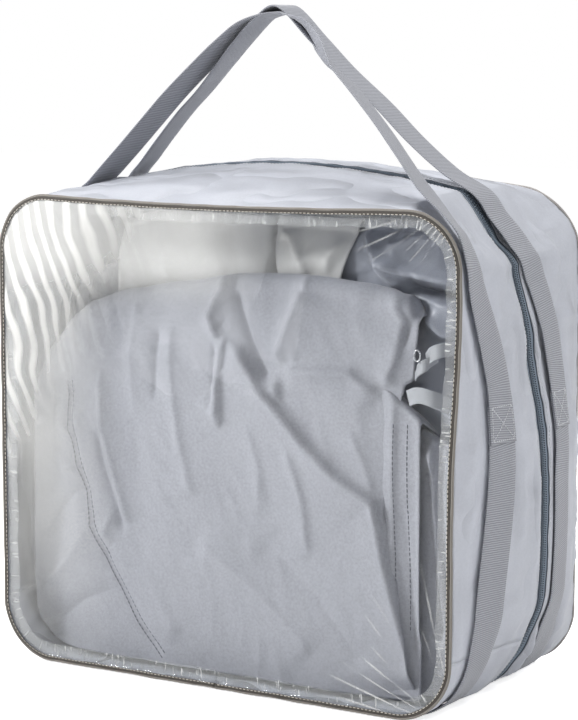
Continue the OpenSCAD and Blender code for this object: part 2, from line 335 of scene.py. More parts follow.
def lengths(path):
    out = [0.0]
    for a, b in zip(path, path[1:]):
        out.append(out[-1] + (b - a).length)
    return out


def ribbon(name, path, across, width, thick, mat):
    """Flat webbing with rounded edges along path; across holds the unit width direction at each point."""
    edge, steps = 4, 6
    flat, r = width / 2 - thick / 2, thick / 2
    section = []
    for sign in (1, -1):
        for k in range(edge + 1):
            a = sign * math.pi / 2 - math.pi * k / edge
            section.append((sign * flat + r * math.cos(a), r * math.sin(a)))
        section += [(lerp(sign * flat, -sign * flat, k / steps), -sign * r) for k in range(1, steps)]
    nv = len(section)
    along = lengths(path)
    pts, uvs, faces = [], [], []
    for i, p in enumerate(path):
        t = (path[min(len(path) - 1, i + 1)] - path[max(0, i - 1)]).normalized()
        w = (across[i] - t * across[i].dot(t)).normalized()
        n = t.cross(w)
        for a, b in section:
            pts.append(p + w * a + n * b)
            uvs.append((along[i], a))
    for i in range(len(path) - 1):
        for j in range(nv):
            k = (j + 1) % nv
            faces.append((i * nv + j, i * nv + k, (i + 1) * nv + k, (i + 1) * nv + j))
    faces.append(tuple(range(nv))[::-1])
    faces.append(tuple((len(path) - 1) * nv + j for j in range(nv)))
    return make_mesh(name, pts, faces, uvs, mat)


def tube(name, path, radius, mat, sides=10, closed=False):
    """A round tube along path."""
    n = len(path)
    along = lengths(path)
    pts, uvs, faces = [], [], []
    for i, p in enumerate(path):
        if closed:
            t = (path[(i + 1) % n] - path[i - 1]).normalized()
        else:
            t = (path[min(n - 1, i + 1)] - path[max(0, i - 1)]).normalized()
        side = t.cross(Vector((0, 1, 0))).normalized()
        top = side.cross(t)
        for k in range(sides):
            a = 2 * math.pi * k / sides
            pts.append(p + side * radius * math.cos(a) + top * radius * math.sin(a))
            uvs.append((along[i], k / sides * 2 * math.pi * radius))
    for i in range(n if closed else n - 1):
        k = (i + 1) % n
        for j in range(sides):
            l = (j + 1) % sides
            faces.append((i * sides + j, k * sides + j, k * sides + l, i * sides + l))
    if not closed:
        faces.append(tuple(range(sides)))
        faces.append(tuple((n - 1) * sides + j for j in range(sides))[::-1])
    return make_mesh(name, pts, faces, uvs, mat)


def beads(name, items, mat):
    """Many small rounded rods in one mesh. items holds (start, end, up, half width, half height)."""
    sides = 6
    pts, faces = [], []
    rings = [(0.0, 0.45), (0.12, 0.95), (0.5, 1.0), (0.88, 0.95), (1.0, 0.45)]
    for a, b, up, hw, hh in items:
        t = (b - a).normalized()
        side = t.cross(up).normalized()
        top = side.cross(t)
        start = len(pts)
        for share, scale in rings:
            c = a.lerp(b, share)
            for k in range(sides):
                ang = 2 * math.pi * k / sides
                pts.append(c + side * hw * scale * math.cos(ang) + top * hh * scale * math.sin(ang))
        for r in range(len(rings) - 1):
            for k in range(sides):
                l = (k + 1) % sides
                faces.append((start + r * sides + k, start + r * sides + l,
                              start + (r + 1) * sides + l, start + (r + 1) * sides + k))
        faces.append(tuple(start + k for k in range(sides))[::-1])
        faces.append(tuple(start + (len(rings) - 1) * sides + k for k in range(sides)))
    return make_mesh(name, pts, faces, None, mat)


def stitch_row(path, normals, pitch, share, half):
    """Short threads along path, each lying on the surface whose normals are given."""
    along = lengths(path)
    total, items, s, i = along[-1], [], pitch * 0.2, 0

    def at(d):
        nonlocal i
        while i < len(along) - 2 and along[i + 1] < d:
            i += 1
        t = (d - along[i]) / max(1e-9, along[i + 1] - along[i])
        return path[i].lerp(path[i + 1], t), normals[i]

    while s + pitch * share < total:
        a, na = at(s)
        b = at(s + pitch * share)[0]
        items.append((a, b, na, half, half * 0.8))
        s += pitch
    return items


# ------------------------------------------------------------------ materials
class Nodes:
    """Short way to build a material's node tree."""

    def __init__(self, name):
        self.mat = bpy.data.materials.new(name)
        self.mat.use_nodes = True
        self.tree = self.mat.node_tree
        self.tree.nodes.clear()
        self.out = self.tree.nodes.new("ShaderNodeOutputMaterial")

    def add(self, kind, inputs=None, **props):
        node = self.tree.nodes.new(kind)
        for key, value in props.items():
            setattr(node, key, value)
        for key, value in (inputs or {}).items():
            if isinstance(value, bpy.types.NodeSocket):
                self.tree.links.new(value, node.inputs[key])
            else:
                node.inputs[key].default_value = value
        return node

    def math(self, op, a, b=0.0, clamp=False):
        return self.add("ShaderNodeMath", {0: a, 1: b}, operation=op, use_clamp=clamp).outputs[0]

    def mul(self, a, b, clamp=False):
        return self.math("MULTIPLY", a, b, clamp)

    def plus(self, a, b, clamp=False):
        return self.math("ADD", a, b, clamp)

    def blend(self, share, a, b):
        """A mix of two surfaces."""
        return self.add("ShaderNodeMixShader", {0: share, 1: a, 2: b}).outputs[0]

    def ramp(self, value, lo, hi, soft=False):
        """0 at lo and 1 at hi, straight or smooth between them."""
        return self.add("ShaderNodeMapRange", {"Value": value, "From Min": lo, "From Max": hi},
                        interpolation_type="SMOOTHSTEP" if soft else "LINEAR").outputs[0]

    def mix(self, fac, a, b):
        node = self.add("ShaderNodeMix", data_type="RGBA")
        for key, value in ((0, fac), (6, a), (7, b)):
            if isinstance(value, bpy.types.NodeSocket):
                self.tree.links.new(value, node.inputs[key])
            else:
                node.inputs[key].default_value = value
        return node.outputs[2]

    def noise(self, coord, scale, detail=3.0, rough=0.55):
        return self.add("ShaderNodeTexNoise", {"Vector": coord, "Scale": scale, "Detail": detail,
                                               "Roughness": rough}).outputs["Fac"]

    def wave(self, coord, scale, direction="X", distortion=0.0):
        return self.add("ShaderNodeTexWave", {"Vector": coord, "Scale": scale, "Distortion": distortion},
                        bands_direction=direction).outputs["Fac"]

    def coord(self, which="Object", scale=None):
        out = self.add("ShaderNodeTexCoord").outputs[which]
        if scale:
            out = self.add("ShaderNodeMapping", {"Vector": out, "Scale": scale}).outputs[0]
        return out

    def bump(self, height, strength, distance, normal=None):
        inputs = {"Height": height, "Strength": strength, "Distance": distance}
        if normal:
            inputs["Normal"] = normal
        return self.add("ShaderNodeBump", inputs).outputs[0]

    def surface(self, shader):
        self.tree.links.new(shader, self.out.inputs["Surface"])
        return self.mat


def rgba(r, g, b):
    return (r, g, b, 1.0)


def shade(color, k):
    return rgba(*(min(1.0, c * k) for c in color[:3]))


WAVE_PERIOD = 0.3142                   # a wave texture's band at scale 1


def woven(name, color, weave=0.0006, rough=0.6, sheen=0.15, coat=0.0, depth=0.00004, cloudy=0.10, uv=True,
          see_through=0.0, mottle=0.14, crumple=0.0):
    """Plain-woven cloth: two crossed sets of threads, cloudy colour and fine wrinkles in the normal."""
    m = Nodes(name)
    place = m.coord("UV" if uv else "Object")
    warp = m.wave(place, WAVE_PERIOD / weave, "X", 0.4)
    weft = m.wave(place, WAVE_PERIOD / weave, "Y" if uv else "Z", 0.4)
    threads = m.mul(warp, weft)
    obj = m.coord("Object")
    cloud = m.noise(obj, 14.0, 4.0)
    fine = m.noise(obj, 420.0, 2.0)
    tone = m.mix(cloud, shade(color, 1 - cloudy), shade(color, 1 + cloudy))
    tone = m.mix(m.mul(threads, 0.22), tone, shade(color, 0.72))
    grain = m.ramp(fine, 0.34, 0.66)
    tone = m.mix(m.mul(grain, mottle), tone, shade(color, 1.30))
    rough_map = m.plus(m.mul(cloud, 0.16), rough - 0.08, True)
    normal = m.bump(m.noise(obj, 60.0, 5.0, 0.6), 0.35, 0.0008)
    if crumple:
        lumps = m.noise(m.coord("Object", (1.0, 1.5, 0.8)), 11.0, 1.0)
        ridge = m.math("ABSOLUTE", m.math("SUBTRACT", lumps, 0.5))
        normal = m.bump(ridge, crumple, 0.045, normal)
    normal = m.bump(threads, 0.6, depth, normal)
    normal = m.bump(fine, 0.25, 0.00006, normal)
    bsdf = m.add("ShaderNodeBsdfPrincipled", {
        "Base Color": tone, "Roughness": rough_map, "Normal": normal, "Sheen Weight": sheen,
        "Sheen Roughness": 0.4, "Coat Weight": coat, "Coat Roughness": 0.35, "Specular IOR Level": 0.35})
    if see_through:
        glow = m.add("ShaderNodeBsdfTranslucent", {"Color": tone, "Normal": normal})
        return m.surface(m.blend(see_through, bsdf.outputs[0], glow.outputs[0]))
    return m.surface(bsdf.outputs[0])


def webbing_material(name, color):
    """Ribbed webbing: bold cross ribs and finer lengthwise threads, with painted shade in the grooves and
    painted light on the ribs.
    """
    m = Nodes(name)
    uv = m.coord("UV")
    slant = m.add("ShaderNodeMapping", {"Vector": uv, "Rotation": (0, 0, 0.10)}).outputs[0]
    ribs = m.wave(slant, WAVE_PERIOD / 0.0021, "X", 0.6)
    rows = m.wave(uv, WAVE_PERIOD / 0.0016, "Y", 0.5)
    weave = m.plus(m.mul(ribs, 0.72), m.mul(rows, 0.28))
    cloud = m.noise(m.coord("Object"), 30.0, 4.0)
    fuzz = m.noise(m.coord("Object"), 900.0, 2.0)
    # Painted shade and light: the tone goes dark in the weave's grooves and light on its ribs.
    tone = m.mix(weave, shade(color, 0.42), shade(color, 1.30))
    tone = m.mix(m.mul(cloud, 0.35), tone, shade(color, 0.85))
    normal = m.bump(weave, 0.9, 0.0004)
    normal = m.bump(fuzz, 0.3, 0.0001, normal)
    rough = m.plus(m.mul(fuzz, 0.2), 0.6, True)
    return m.surface(m.add("ShaderNodeBsdfPrincipled", {
        "Base Color": tone, "Roughness": rough, "Normal": normal, "Sheen Weight": 0.3,
        "Sheen Roughness": 0.35}).outputs[0])


def plain(name, color, rough, grain=300.0, depth=0.00008, metallic=0.0):
    """Even colour with a fine grain, for thread, nylon and metal."""
    m = Nodes(name)
    obj = m.coord("Object")
    cloud = m.noise(obj, 40.0, 4.0)
    fine = m.noise(obj, grain, 3.0)
    tone = m.mix(cloud, shade(color, 0.88), shade(color, 1.12))
    rough_map = m.plus(m.mul(fine, 0.2), rough - 0.1, True)
    return m.surface(m.add("ShaderNodeBsdfPrincipled", {
        "Base Color": tone, "Roughness": rough_map, "Metallic": metallic,
        "Normal": m.bump(fine, 0.4, depth)}).outputs[0])


def clear_material(name, milk_share, upper_left_painted_glare):
    """Clear flexible sheet: sharp reflections over a little milkiness. upper_left_painted_glare sets
    painted
    reflections in white milk: cloudy patches and pleats that run down from the window's upper left corner,
    and painted glints that fan from the right corners; without it, fine painted glints streak the sheet
    instead."""
    m = Nodes(name)
    obj = m.coord("Object")
    scuff = m.noise(m.coord("Object", (2.5, 1.0, 0.9)), 90.0, 3.0)
    # The sheet's own scuffed milkiness; the painted reflections below are added to it.
    haze_and_painted_glare = m.mul(m.plus(scuff, 0.5), milk_share, True)
    if upper_left_painted_glare:
        warp = m.mul(m.noise(obj, 9.0, 2.0), 0.05)
        where = m.add("ShaderNodeSeparateXYZ", {0: obj}).outputs
        x, z = where[0], where[2]
        slant = m.plus(m.plus(m.mul(x, 0.94), m.mul(z, 0.34)), warp)
        # Painted reflection: white bands of milk along the pleats below the upper left corner.
        band = m.math("SINE", m.mul(slant, 2 * math.pi / 0.0185))
        band = m.mul(m.plus(m.mul(band, 0.9), 0.25, True),
                     m.plus(m.noise(m.coord("Object", (1.0, 1.0, 0.5)), 40.0, 2.0), 0.25, True))
        near = m.plus(m.mul(m.plus(x, 0.255), 1.0), m.mul(m.math("SUBTRACT", 0.47, z), 0.60))
        fade = m.ramp(near, 0.20, 0.04, True)
        # Painted reflection: cloudy white patches down the left side and along the top.
        cloud = m.noise(m.coord("Object", (1.0, 1.0, 0.6)), 8.0, 5.0, 0.6)
        left = m.ramp(x, -0.10, -0.215, True)
        low = m.ramp(z, 0.02, 0.30)
        side = m.mul(m.mul(left, m.plus(m.mul(low, 0.7), 0.3)),
                     m.plus(m.mul(cloud, 1.2), -0.10, True))
        high = m.ramp(z, 0.36, 0.42, True)
        right = m.ramp(x, 0.06, -0.04, True)
        top = m.mul(m.mul(high, right), 0.30)
        haze_and_painted_glare = m.plus(haze_and_painted_glare, m.mul(m.mul(band, fade), upper_left_painted_glare), True)
        haze_and_painted_glare = m.plus(haze_and_painted_glare, m.mul(side, 0.55 * upper_left_painted_glare), True)
        haze_and_painted_glare = m.plus(haze_and_painted_glare, m.mul(top, upper_left_painted_glare), True)
        # Painted highlights: white glints that fan along the folds from the right corners.
        for cz, reach in ((0.478, 0.12), (-0.004, 0.16)):
            dx, dz = m.math("SUBTRACT", 0.262, x), m.math("SUBTRACT", cz, z)
            angle = m.plus(m.math("ARCTAN2", dz, dx), warp)
            line = m.ramp(m.math("SINE", m.mul(angle, 47.0)), 0.86, 1.0)
            far = m.math("SQRT", m.plus(m.mul(dx, dx), m.mul(dz, dz)))
            near = m.ramp(far, reach, 0.35 * reach)
            some = m.ramp(m.noise(obj, 16.0, 1.0), 0.50, 0.60)
            painted_fold_glints = m.mul(m.mul(line, near), some)
            haze_and_painted_glare = m.plus(haze_and_painted_glare, m.mul(painted_fold_glints, 0.5), True)
    else:
        # Painted highlights: thin white glints crinkled along the hem.
        streak = m.noise(m.coord("UV", (1.0, 0.12, 1.0)), 420.0, 2.0)
        painted_hem_glints = m.ramp(streak, 0.60, 0.72)
        haze_and_painted_glare = m.plus(haze_and_painted_glare, m.mul(painted_hem_glints, 0.6), True)
    normal = m.bump(m.noise(obj, 60.0, 3.0), 0.15, 0.0005)
    clear = m.add("ShaderNodeBsdfTransparent", {"Color": rgba(0.965, 0.97, 0.975)})
    milk = m.add("ShaderNodeBsdfDiffuse", {"Color": rgba(0.95, 0.945, 0.92), "Normal": normal})
    body = m.blend(haze_and_painted_glare, clear.outputs[0], milk.outputs[0])
    gloss = m.add("ShaderNodeBsdfGlossy", {"Color": rgba(1, 1, 1), "Roughness": 0.07, "Normal": normal})
    outside = m.math("SUBTRACT", 1.0, m.add("ShaderNodeNewGeometry").outputs["Backfacing"])
    facing = m.mul(m.add("ShaderNodeFresnel", {"IOR": 1.38, "Normal": normal}).outputs[0], outside)
    return m.surface(m.blend(facing, body, gloss.outputs[0]))


CLOTH = rgba(0.60, 0.62, 0.68)
cloth_mat = woven("coated_cloth", CLOTH, 0.0007, 0.42, 0.10, 0.12, 0.00003, 0.05, see_through=0.18,
                  crumple=0.8)
lip_mat = woven("binding_lip", rgba(0.060, 0.052, 0.044), 0.0008, 0.55, 0.2, depth=0.00008)
window_hem_mat = clear_material("window_hem", 0.12, 0.0)
hem_mat = woven("seam_allowance", rgba(0.62, 0.63, 0.66), 0.0007, 0.55, 0.1)
webbing_mat = webbing_material("ribbed_webbing", rgba(0.36, 0.37, 0.41))
piping_mat = woven("piping_tape", rgba(0.23, 0.212, 0.190), 0.0008, 0.6, 0.25, depth=0.00008)
rear_piping_mat = woven("rear_piping_tape", rgba(0.36, 0.34, 0.33), 0.0008, 0.6, 0.25, depth=0.00008)
tape_mat = woven("zip_tape_weave", rgba(0.17, 0.21, 0.26), 0.0009, 0.7, 0.2, depth=0.00010)
coil_mat = plain("zip_coil_nylon", rgba(0.20, 0.25, 0.31), 0.35, 500.0)
# Dark zip cords; the outer ones are painted shadow lines where the cloth's folded edge shades the tape.
cord_and_shadow_line_mat = plain("zip_cord_and_painted_shadow_line", rgba(0.045, 0.055, 0.075), 0.55, 500.0)
metal_mat = plain("zip_nickel", rgba(0.62, 0.63, 0.65), 0.28, 800.0, 0.00003, metallic=1.0)
thread_mat = plain("sewing_thread", rgba(0.68, 0.69, 0.72), 0.6, 2000.0, 0.0001)
cream_mat = plain("binding_thread", rgba(0.66, 0.62, 0.55), 0.6, 2000.0, 0.0001)
window_mat = clear_material("clear_sheet", 0.0, 0.8)
cover_mat = woven("cover_cloth", rgba(0.365, 0.37, 0.402), 0.0009, 0.85, 0.3, 0.0, 0.00006, 0.07,
                  uv=False, mottle=0.55)
pale_mat = woven("cover_lining", rgba(0.62, 0.615, 0.60), 0.0008, 0.7, 0.3, 0.0, 0.00005, 0.06, uv=False)
nylon_mat = woven("cover_nylon", rgba(0.33, 0.345, 0.39), 0.0007, 0.40, 0.1, 0.2, 0.00004, 0.08, uv=False)
tab_mat = woven("cover_tabs", rgba(0.42, 0.43, 0.45), 0.0008, 0.6, 0.2, 0.0, 0.00006, 0.06)
seam_mat = plain("cover_seam_thread", rgba(0.12, 0.12, 0.14), 0.7, 2000.0, 0.0001)


# ------------------------------------------------------------------ gusset cloth
def skin_uv(u, v):
    return (length_at(u), v)


def cloth_lip(y):
    """The cloth is doubled beside the zip, so it stands a little higher there."""
    return 0.0012 * (1 - smooth((abs(y) - 0.021) / 0.004))


def gusset_point(u, y):
    return skin(u, y, cloth_lip(y) + 0.0004)


def depth_steps(a, b):
    """Depth values, closer together beside the zip and the piping."""
    span = [0.0, 0.012, 0.03, 0.055, 0.085, 0.10, 0.13, 0.17, 0.22, 0.28, 0.35, 0.42, 0.5, 0.58, 0.66,
            0.73, 0.80, 0.86, 0.90, 0.93, 0.96, 0.98, 1.0]
    return [lerp(a, b, t) for t in span]


STEP = 0.0045
EDGE_Y = HALF_D - 0.0012
front_depths = depth_steps(-ZIP_GAP, -EDGE_Y)
rear_depths = depth_steps(ZIP_GAP, EDGE_Y)

arch = cloth_sheet("front_gusset_cloth", even_u(1, 6, STEP), front_depths, gusset_point, CLOTH_T,
                   cloth_mat, skin_uv, -1)
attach(arch, "front_flap")
rear = cloth_sheet("rear_gusset_cloth", even_u(-1, 8, STEP), rear_depths, gusset_point, CLOTH_T,
                   cloth_mat, skin_uv, 1)
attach(rear, "root")
floor_mid = cloth_sheet("front_floor_cloth", even(-HINGE_X, HINGE_X, 30), front_depths,
                        lambda x, y: Vector((x, y, BASE_Z)), CLOTH_T, cloth_mat, lambda u, v: (u, v), -1)
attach(floor_mid, "root")
corner_start_u = -(1 - HINGE_X / FLAT_X)
for side, tag in ((-1, "left"), (1, "right")):
    us = even_u(corner_start_u, 1, STEP)

    def corner_point(u, y, s=side):
        return gusset_point(u if s < 0 else 7 - u, y)

    corner = cloth_sheet("front_corner_cloth_" + tag, us, front_depths, corner_point, CLOTH_T, cloth_mat,
                         skin_uv, -1 if side < 0 else 1)
    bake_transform(corner)
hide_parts("front_gusset")
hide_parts("rear_gusset")
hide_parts("bottom_gusset")
length_at(6) - length_at(1)
length_at(8) - length_at(-1)


# ------------------------------------------------------------------ panels
def panel_rings(name, y0, relief, mat, inset, thick, outward, rings=46, step=0.0055):
    """A rounded panel filled by rings that shrink from its outline to its middle."""
    us = even_u(-1, 8, step)[:-1]
    edge = [skin(u, outward * HALF_D, -inset, 0) for u in us]
    centre = Vector((0, y0, BODY_H / 2))
    shares = [1 - (k / rings) ** 1.15 for k in range(rings)]
    pts, uvs = [], []
    for layer in (0, 1):
        for e in edge:
            for share in shares:
                x = centre.x + (e.x - centre.x) * share
                z = centre.z + (e.z - centre.z) * share
                pts.append(Vector((x, y0 + outward * relief(x, z, share) - outward * thick * layer, z)))
                uvs.append((x, z))
        pts.append(Vector((0, y0 + outward * relief(0, centre.z, 0) - outward * thick * layer, centre.z)))
        uvs.append((0, centre.z))
    nu, nv = len(us), rings
    m = nu * nv + 1
    flip = outward > 0
    faces = grid_faces(nu, nv, 0, flip, True) + grid_faces(nu, nv, m, not flip, True)
    for i in range(nu):
        k = (i + 1) % nu
        a, b = i * nv + nv - 1, k * nv + nv - 1
        faces.append((a, b, nu * nv)[:: -1 if flip else 1])
        faces.append((m + a, m + b, m + nu * nv)[:: 1 if flip else -1])
        rim = (i * nv, m + i * nv, m + k * nv, k * nv)
        faces.append(rim[:: -1 if flip else 1])
    return make_mesh(name, pts, faces, uvs, mat)


def fan(x, z, cx, cz, folds, phase, reach, sharp=1.0):
    """Folds that fan out from a point, fading with distance."""
    dx, dz = x - cx, z - cz
    r = math.hypot(dx, dz)
    a = math.atan2(dz, dx) + 0.18 * n3(dx * 14, dz * 14, phase)
    ridge = 1 - abs(math.sin(a * folds + phase + r * 6)) ** sharp * 2
    return ridge * math.exp(-(r / reach) ** 2) * smooth(r / 0.03)


def pleats(c, spacing, phase):
    """Uneven parallel folds with narrow crests, between -1 and 1."""
    w = c / spacing + 0.45 * n3(c * 30, phase, 1.0)
    return 1 - 2 * abs(math.sin(math.pi * w)) ** 0.8


def window_relief(x, z, share):
    """Outward height of the window's folds: pleats from the upper left corner, creases along the edges."""
    edge = smooth((1 - share) / 0.035)
    belly = 0.0030 * (1 - share ** 2)
    slant = x * 0.94 + z * 0.34 + 0.010 * n3(x * 12, z * 12, 5.5)
    near = smooth((0.25 - (x + 0.255) - 0.62 * (0.47 - z)) / 0.16)
    left_pleats = 0.0009 * pleats(slant, 0.0185, 3.0) * near * (0.55 + 0.45 * n3(x * 10, z * 7, 2.2))
    right_top = 0.0009 * fan(x, z, 0.262, 0.478, 21, 0.2, 0.075, 0.6)
    right_low = 0.0012 * fan(x, z, 0.262, 0.000, 15, 2.2, 0.12, 0.7)
    low_left = 0.0010 * fan(x, z, -0.262, 0.000, 11, 1.1, 0.16, 0.7)
    broad = 0.0011 * n3(x * 7, z * 6, 1.0) + 0.0005 * (1 - 2 * abs(n3(x * 15 + z * 10, z * 13 - x * 6,
                                                                      3.0)))
    rim = math.exp(-max(0.0, 1 - share) / 0.05)
    gather = 0.0006 * rim * n3(x * 75, z * 75, 6.0)
    return belly + edge * (left_pleats + right_top + right_low + low_left + broad + gather)


window = panel_rings("window_sheet", -HALF_D, window_relief, window_mat, 0.0015, 0.0006, -1, 70, 0.004)
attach(window, "front_flap")
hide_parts("front_window")


def back_relief(x, z, share):
    belly = 0.006 * (1 - share ** 2)
    soft = 0.0030 * n3(x * 7, z * 6, 8.0) + 0.0014 * (1 - 2 * abs(n3(x * 11 + z * 7, z * 12 - x * 5,
                                                                     12.0)))
    pucker = 0.0008 * math.exp(-(1 - share) / 0.04) * n3(x * 80, z * 80, 5.0)
    return belly + smooth((1 - share) / 0.08) * soft + pucker


back = panel_rings("back_cloth", HALF_D - 0.001, back_relief, cloth_mat, 0.0015, CLOTH_T, 1)
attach(back, "root")
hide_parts("back_panel")


# ------------------------------------------------------------------ piping and seams
def ring_path(y, inset, wobble=0.0, step=0.004):
    """A closed path inset from the panel's outline, at depth y."""
    out = []
    for u in even_u(-1, 8, step)[:-1]:
        s = length_at(u)
        off = -inset + wobble * n3(s * 45, y * 10, 3.3)
        p = skin(u, math.copysign(HALF_D, y), off, 0)
        out.append(Vector((p.x, y, p.z)))
    return out


piping = tube("front_piping_bead", ring_path(-HALF_D, -0.0002, 0.0006), 0.0014, piping_mat, 10, True)
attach(piping, "front_flap")
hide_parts("front_piping")
rear_piping = tube("rear_piping_bead", ring_path(HALF_D, 0.0, 0.0006), 0.0016, rear_piping_mat, 10, True)
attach(rear_piping, "root")
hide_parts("rear_piping")


def seam_band(name, y, inset, width, wobble, mat, thick, body):
    """A flat band that follows the outline just inside it."""
    us = even_u(-1, 8, 0.004)
    sign = math.copysign(1, y)

    def point(u, v):
        s = length_at(u)
        p = skin(u, sign * HALF_D, -inset - width * v + wobble * n3(s * 50, v * 2, inset * 90), 0)
        return Vector((p.x, y + 0.0006 * n3(s * 40, v * 3, 2.0) * v, p.z))

    band = cloth_sheet(name, us, even(0, 1, 5), point, thick, mat,
                       lambda u, v: (length_at(u), v * width), sign)
    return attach(band, body)


lip = seam_band("front_binding_lip", -HALF_D - 0.0014, 0.0006, 0.0034, 0.0007, lip_mat, 0.0006,
                "front_flap")
allowance = seam_band("window_seam_allowance", -HALF_D + 0.0022, 0.003, 0.0125, 0.0020,
                      window_hem_mat, 0.0006, "front_flap")
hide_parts("window_seam_binding")
rear_allowance = seam_band("rear_seam_allowance", HALF_D - 0.0040, 0.003, 0.0135, 0.0012, hem_mat,
                           0.0006, "root")
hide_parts("rear_seam_binding")


def ring_stitches(name, y, inset, mat, body):
    path = ring_path(y, inset, 0.0004, 0.003)
    normal = Vector((0, math.copysign(1, y), 0))
    row = beads(name, stitch_row(path + path[:1], [normal] * (len(path) + 1), 0.0042, 0.62, 0.00040), mat)
    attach(row, body)


ring_stitches("front_binding_stitches", -HALF_D - 0.0017, 0.0034, cream_mat, "front_flap")
ring_stitches("rear_binding_stitches", HALF_D + 0.0004, 0.0042, thread_mat, "root")


# ------------------------------------------------------------------ zip
ZIP_U0 = 0.25
zip_us = even_u(ZIP_U0, 7 - ZIP_U0, 0.004)
for sign, tag, body in ((-1, "front", "front_flap"), (1, "rear", "root")):
    tape = cloth_sheet(tag + "_zip_tape_cloth", zip_us, even(sign * 0.0006, sign * 0.0135, 6),
                       lambda u, y: skin(u, y, 0.0002), 0.0006, tape_mat, skin_uv, -sign)
    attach(tape, body)
    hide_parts(tag + "_zip_tape")


def tooth_items(sign, pitch, phase):
    """Coil teeth of one half: rods across the centre line that mesh with the other half's."""
    items, k = [], 0
    total = length_at(7 - ZIP_U0) - length_at(ZIP_U0)
    us = even_u(ZIP_U0, 7 - ZIP_U0, 0.002)
    marks = [length_at(u) - length_at(ZIP_U0) for u in us]
    for n in range(int(total / pitch)):
        s = (n + phase) * pitch
        while k < len(marks) - 2 and marks[k + 1] < s:
            k += 1
        u = lerp(us[k], us[k + 1], (s - marks[k]) / max(1e-9, marks[k + 1] - marks[k]))
        a = skin(u, sign * 0.0040, 0.0015)
        b = skin(u, -sign * 0.0006, 0.0021)
        nx, nz = outline(u)[2:4]
        items.append((a, b, Vector((nx, 0, nz)), 0.00042, 0.0008))
    return items


for sign, tag, body in ((-1, "front", "front_flap"), (1, "rear", "root")):
    teeth = beads(tag + "_zip_teeth", tooth_items(sign, 0.0022, 0.25 if sign < 0 else 0.75), coil_mat)
    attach(teeth, body)
    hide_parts(tag + "_zip_coil")
    # The outer cord is a dark line painted where the cloth edge's shadow falls on the tape; the inner one
    # runs along the coil.
    for y, place in ((0.0044, "inner"), (0.0088, "outer")):
        cord = tube(f"{tag}_zip_{place}_cord", [skin(u, sign * y, 0.0011) for u in zip_us], 0.0005,
                    cord_and_shadow_line_mat, 6)
        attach(cord, body)
    row = stitch_row([skin(u, sign * 0.0125, 0.0018) for u in zip_us],
                     [Vector((outline(u)[2], 0, outline(u)[3])) for u in zip_us], 0.0038, 0.62, 0.00038)
    topstitch = beads(tag + "_zip_topstitch", row, thread_mat)
    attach(topstitch, body)

for node in ("zip_slider_body", "zip_slider_bridge", "zip_pull_tab", "zip_end_stops"):
    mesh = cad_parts[node].data
    mesh.materials.clear()
    mesh.materials.append(metal_mat)


# ------------------------------------------------------------------ sewn webbing
def on_side(u, side):
    return u if side < 0 else 7 - u


def sewn_path(web_y, side, u0, z1):
    path, across = [], []
    for u in even_u(u0, u_at(z1), 0.005):
        y, v = web_y(outline(u)[1]), on_side(u, side)
        path.append(skin(v, y, SEWN_LIFT, 0))
        across.append(skin(v, y + 0.008, SEWN_LIFT, 0) - skin(v, y - 0.008, SEWN_LIFT, 0))
    return path, across


for web_y, tag, body in ((front_web_y, "front", "front_flap"), (rear_web_y, "rear", "root")):
    for side, word in ((-1, "left"), (1, "right")):
        path, across = sewn_path(web_y, side, 0.10, STITCH_Z)
        strap = ribbon(f"{tag}_webbing_{word}", path, across, WEB_W, WEB_T, webbing_mat)
        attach(strap, body)
        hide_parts(f"{tag}_strap_{word}")
    y = web_y(0.0)
    base_path = [Vector((x, y, WEB_T / 2)) for x in even(-FLAT_X - 0.010, FLAT_X + 0.010, 60)]
    base = ribbon(tag + "_webbing_base", base_path, [Vector((0, 1, 0))] * len(base_path), WEB_W, WEB_T,
                  webbing_mat)
    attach(base, "root")
    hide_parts(tag + "_strap_base")


# ------------------------------------------------------------------ carry handles
def handle(name, left_lane, left_air, apex, right_air, right_lane, twist):
    """One continuous strap: stitched end, up the left side, over the corner, through the air to the
    apex and down the right side. A lane holds (u, depth) pairs on the left half, air points in space."""

    def on_bag(lane, side):
        out = []
        for u, y in lane:
            v = on_side(u, side)
            lift = LOOP_LIFT + 0.0045 * smooth((u - 2.1) / 0.4)
            way = skin(v, y + 0.01, LOOP_LIFT, 0) - skin(v, y - 0.01, LOOP_LIFT, 0)
            out.append((skin(v, y, lift, 0), way.normalized()))
        return out

    y_way = Vector((0, 1, 0))
    stops = on_bag(left_lane, -1) + [(Vector(p), y_way) for p in left_air + [apex] + right_air[::-1]]
    stops += on_bag(right_lane, 1)[::-1]
    path = spline([p for p, _ in stops], 8)
    across = spline([w for _, w in stops], 8)
    along = lengths(path)
    turned = []
    for i, (p, w) in enumerate(zip(path, across)):
        t = (path[min(len(path) - 1, i + 1)] - path[max(0, i - 1)]).normalized()
        turned.append(Matrix.Rotation(math.radians(twist(along[i] / along[-1])), 3, t) @ w)
    strap = ribbon(name, path, turned, WEB_W, WEB_T, webbing_mat)
    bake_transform(strap)
    return strap


